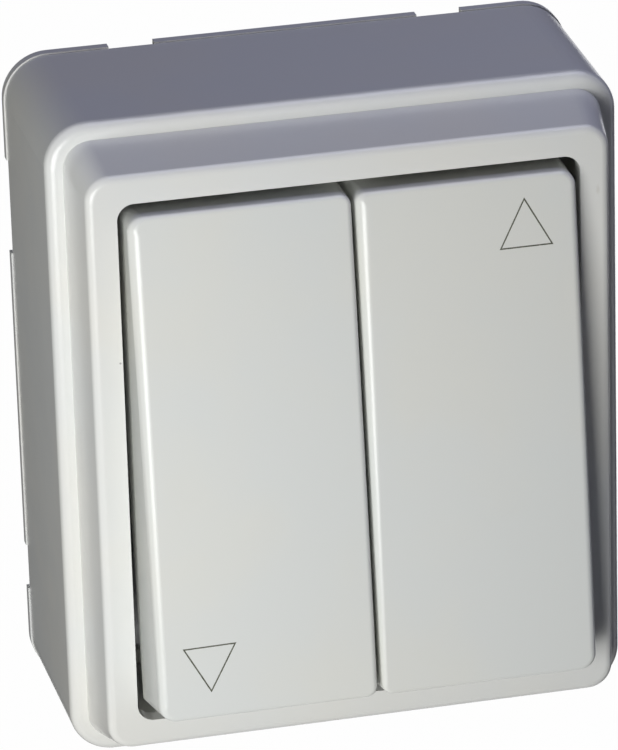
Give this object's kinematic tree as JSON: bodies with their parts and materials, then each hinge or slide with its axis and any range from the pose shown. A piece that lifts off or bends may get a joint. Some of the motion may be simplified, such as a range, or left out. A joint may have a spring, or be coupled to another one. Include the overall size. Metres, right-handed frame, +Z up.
{
  "type": "surface-mounted push-button switch",
  "caption": "Surface-mounted wall switch with raised frame and side-by-side spring-return rocker push-buttons for up and down.",
  "frame": {"origin": "centre of the base plate's wall face", "axes": "+X to the right and +Z up as seen from the front, +Y into the wall, so the keys face -Y"},
  "size_m": [0.066, 0.0401, 0.0776],
  "materials": {
    "base_moulding": "smooth, slightly glossy cream white",
    "housing_moulding": "smooth, slightly glossy cream white",
    "key_moulding": "smooth, slightly glossy cream white",
    "mechanism_moulding": "matt grey",
    "rocker_moulding": "matt off-white",
    "plunger_moulding": "matt natural",
    "zinc_steel": "bright zinc plated",
    "spring_steel": "bright drawn wire",
    "contact_brass": "plain brass"
  },
  "bodies": {
    "housing": {"base_plate": "base_moulding", "housing_cover": "housing_moulding", "support_ring": "zinc_steel", "insert_body": "mechanism_moulding", "insert_plate": "mechanism_moulding", "pivot_pin": "zinc_steel", "terminal_down": "contact_brass", "terminal_up": "contact_brass", "terminal_line": "contact_brass", "clamp_screws": "zinc_steel", "insert_screws": "zinc_steel", "ring_screws": "zinc_steel", "return_spring_down": "spring_steel", "return_spring_up": "spring_steel"},
    "down_key": {"key_down": "key_moulding", "rocker_down": "rocker_moulding"},
    "up_key": {"key_up": "key_moulding", "rocker_up": "rocker_moulding"},
    "down_plunger": {"plunger_down": "plunger_moulding", "contact_bridge_down": "contact_brass"},
    "up_plunger": {"plunger_up": "plunger_moulding", "contact_bridge_up": "contact_brass"}
  },
  "joints": [
    {"name": "press_down", "type": "hinge", "parent": "housing", "child": "down_key", "pos_m": [0, -0.0274, 0], "axis": [1, 0, 0], "range_deg": [0, 7.2], "stiffness_Nm_per_rad": 0.15, "springref_deg": -17.19},
    {"name": "press_up", "type": "hinge", "parent": "housing", "child": "up_key", "pos_m": [0, -0.0274, 0], "axis": [1, 0, 0], "range_deg": [0, 7.2], "stiffness_Nm_per_rad": 0.15, "springref_deg": -17.19},
    {"name": "plunger_travel_down", "type": "slide", "parent": "housing", "child": "down_plunger", "axis": [0, 1, 0], "range_m": [0, 0.00102], "deforming": ["return_spring_down"]},
    {"name": "plunger_travel_up", "type": "slide", "parent": "housing", "child": "up_plunger", "axis": [0, 1, 0], "range_m": [0, 0.00102], "deforming": ["return_spring_up"]}
  ],
  "couplings": [
    {"joint": "plunger_travel_down", "follows": "press_down", "m_per_rad": 0.0081296},
    {"joint": "plunger_travel_up", "follows": "press_up", "m_per_rad": 0.0081296}
  ]
}
